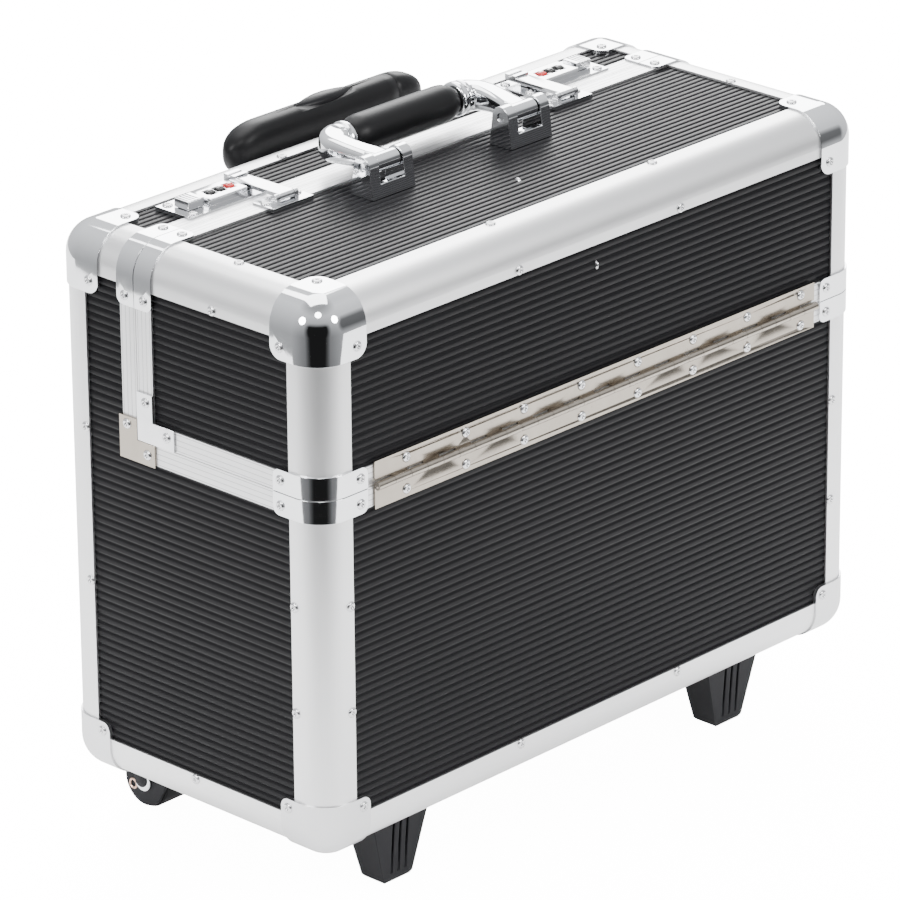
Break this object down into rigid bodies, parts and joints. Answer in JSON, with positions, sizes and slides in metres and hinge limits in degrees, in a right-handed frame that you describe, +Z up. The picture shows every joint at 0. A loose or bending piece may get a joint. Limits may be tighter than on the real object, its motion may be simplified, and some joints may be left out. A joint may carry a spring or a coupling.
{
  "type": "wheeled aluminium case",
  "caption": "Upright aluminium-framed case with ribbed panels, a front-hinged lid, dial locks, a folding carry handle, a telescopic pull handle, wheels and feet.",
  "frame": {"origin": "on the ground, under the middle of the whole case", "axes": "+Z up; X along the long side; the hinged front faces -Y, the pull handle and wheels are at +Y"},
  "size_m": [0.4848, 0.2494, 0.4315],
  "materials": {
    "ribbed_panel": "dark anodised, fine ribs",
    "satin_edge": "satin anodised extrusion",
    "ball_chrome": "mirror chrome",
    "satin_fitting": "satin",
    "nickel_plate": "warm nickel plate",
    "rivet_metal": "bright",
    "lining_cloth": "dark cloth on board",
    "lock_metal": "polished",
    "dial_black": "gloss, white digits",
    "dial_red": "gloss red, white digits",
    "foot_plastic": "matt dark grey",
    "wheel_rubber": "matt",
    "tube_metal": "satin",
    "grip_black": "satin black",
    "button_grey": "satin"
  },
  "bodies": {
    "case_body": {"back_panel": "ribbed_panel", "bottom_panel": "ribbed_panel", "front_panel": "ribbed_panel", "end_panels": "ribbed_panel", "strip_panel": "ribbed_panel", "bottom_edges": "satin_edge", "upright_edges": "satin_edge", "back_top_edge": "satin_edge", "strip_edges": "satin_edge", "body_rim": "satin_edge", "body_ball_corners": "ball_chrome", "bottom_corners": "satin_fitting", "body_collars": "ball_chrome", "body_angle_plates": "nickel_plate", "body_rivets": "rivet_metal", "hinge_body_leaf": "nickel_plate", "hinge_pin": "nickel_plate", "body_lining": "lining_cloth", "lock_base_left": "lock_metal", "lock_base_right": "lock_metal", "front_feet": "foot_plastic", "wheel_housings": "foot_plastic", "wheel_axles": "rivet_metal", "pull_outer_tubes": "tube_metal", "pull_brackets": "foot_plastic"},
    "lid": {"lid_top_panel": "ribbed_panel", "lid_front_panel": "ribbed_panel", "lid_end_panels": "ribbed_panel", "lid_front_edge": "satin_edge", "lid_side_edges": "satin_edge", "lid_rim": "satin_edge", "lid_ball_corners": "ball_chrome", "lid_collars": "ball_chrome", "lid_angle_plates": "nickel_plate", "lid_rivets": "rivet_metal", "hinge_lid_leaf": "nickel_plate", "lid_lining": "lining_cloth", "hasp_keepers": "lock_metal", "handle_brackets": "satin_fitting", "handle_pins": "rivet_metal"},
    "carry_handle": {"handle_arms": "tube_metal", "handle_collars": "ball_chrome", "handle_grip": "grip_black"},
    "hasp_left": {"hasp_left": "lock_metal"},
    "hasp_right": {"hasp_right": "lock_metal"},
    "slider_left": {"slider_left": "lock_metal"},
    "slider_right": {"slider_right": "lock_metal"},
    "pull_middle": {"pull_middle_tubes": "tube_metal"},
    "pull_inner": {"pull_inner_tubes": "tube_metal", "pull_grip": "grip_black"},
    "pull_button": {"pull_button": "button_grey"},
    "wheel_left": {"wheel_left": "wheel_rubber"},
    "wheel_right": {"wheel_right": "wheel_rubber"},
    "dial_left_1": {"dial_left_1": "dial_red"},
    "dial_left_2": {"dial_left_2": "dial_black"},
    "dial_left_3": {"dial_left_3": "dial_black"},
    "dial_right_1": {"dial_right_1": "dial_red"},
    "dial_right_2": {"dial_right_2": "dial_black"},
    "dial_right_3": {"dial_right_3": "dial_black"}
  },
  "joints": [
    {"name": "lid_hinge", "type": "hinge", "parent": "case_body", "child": "lid", "pos_m": [0, -0.1221, 0.2805], "axis": [1, 0, 0], "range_deg": [0, 100]},
    {"name": "carry_handle_pivot", "type": "hinge", "parent": "lid", "child": "carry_handle", "pos_m": [-0.009, -0.00645, 0.4195], "axis": [1, 0, 0], "range_deg": [0, 100]},
    {"name": "hasp_left_pivot", "type": "hinge", "parent": "lid", "child": "hasp_left", "pos_m": [-0.1255, 0.0207, 0.406], "axis": [1, 0, 0], "range_deg": [0, 110]},
    {"name": "slider_left_slide", "type": "slide", "parent": "case_body", "child": "slider_left", "axis": [-1, 0, 0], "range_m": [0, 0.004], "stiffness_N_per_m": 100},
    {"name": "dial_left_1_turn", "type": "hinge", "parent": "case_body", "child": "dial_left_1", "pos_m": [-0.1395, 0.0543, 0.4048], "axis": [1, 0, 0], "continuous": true},
    {"name": "dial_left_2_turn", "type": "hinge", "parent": "case_body", "child": "dial_left_2", "pos_m": [-0.1475, 0.0543, 0.4048], "axis": [1, 0, 0], "continuous": true},
    {"name": "dial_left_3_turn", "type": "hinge", "parent": "case_body", "child": "dial_left_3", "pos_m": [-0.1555, 0.0543, 0.4048], "axis": [1, 0, 0], "continuous": true},
    {"name": "wheel_left_roll", "type": "hinge", "parent": "case_body", "child": "wheel_left", "pos_m": [-0.173, 0.0932, 0.018], "axis": [1, 0, 0], "continuous": true},
    {"name": "hasp_right_pivot", "type": "hinge", "parent": "lid", "child": "hasp_right", "pos_m": [0.1215, 0.0207, 0.406], "axis": [1, 0, 0], "range_deg": [0, 110]},
    {"name": "slider_right_slide", "type": "slide", "parent": "case_body", "child": "slider_right", "axis": [1, 0, 0], "range_m": [0, 0.004], "stiffness_N_per_m": 100},
    {"name": "dial_right_1_turn", "type": "hinge", "parent": "case_body", "child": "dial_right_1", "pos_m": [0.1355, 0.0543, 0.4048], "axis": [1, 0, 0], "continuous": true},
    {"name": "dial_right_2_turn", "type": "hinge", "parent": "case_body", "child": "dial_right_2", "pos_m": [0.1435, 0.0543, 0.4048], "axis": [1, 0, 0], "continuous": true},
    {"name": "dial_right_3_turn", "type": "hinge", "parent": "case_body", "child": "dial_right_3", "pos_m": [0.1515, 0.0543, 0.4048], "axis": [1, 0, 0], "continuous": true},
    {"name": "wheel_right_roll", "type": "hinge", "parent": "case_body", "child": "wheel_right", "pos_m": [0.173, 0.0932, 0.018], "axis": [1, 0, 0], "continuous": true},
    {"name": "pull_middle_slide", "type": "slide", "parent": "case_body", "child": "pull_middle", "axis": [0, 0, 1], "range_m": [0, 0.255]},
    {"name": "pull_inner_slide", "type": "slide", "parent": "pull_middle", "child": "pull_inner", "axis": [0, 0, 1], "range_m": [0, 0.255]},
    {"name": "pull_button_press", "type": "slide", "parent": "pull_inner", "child": "pull_button", "axis": [0, 0, -1], "range_m": [0, 0.003], "stiffness_N_per_m": 300}
  ]
}
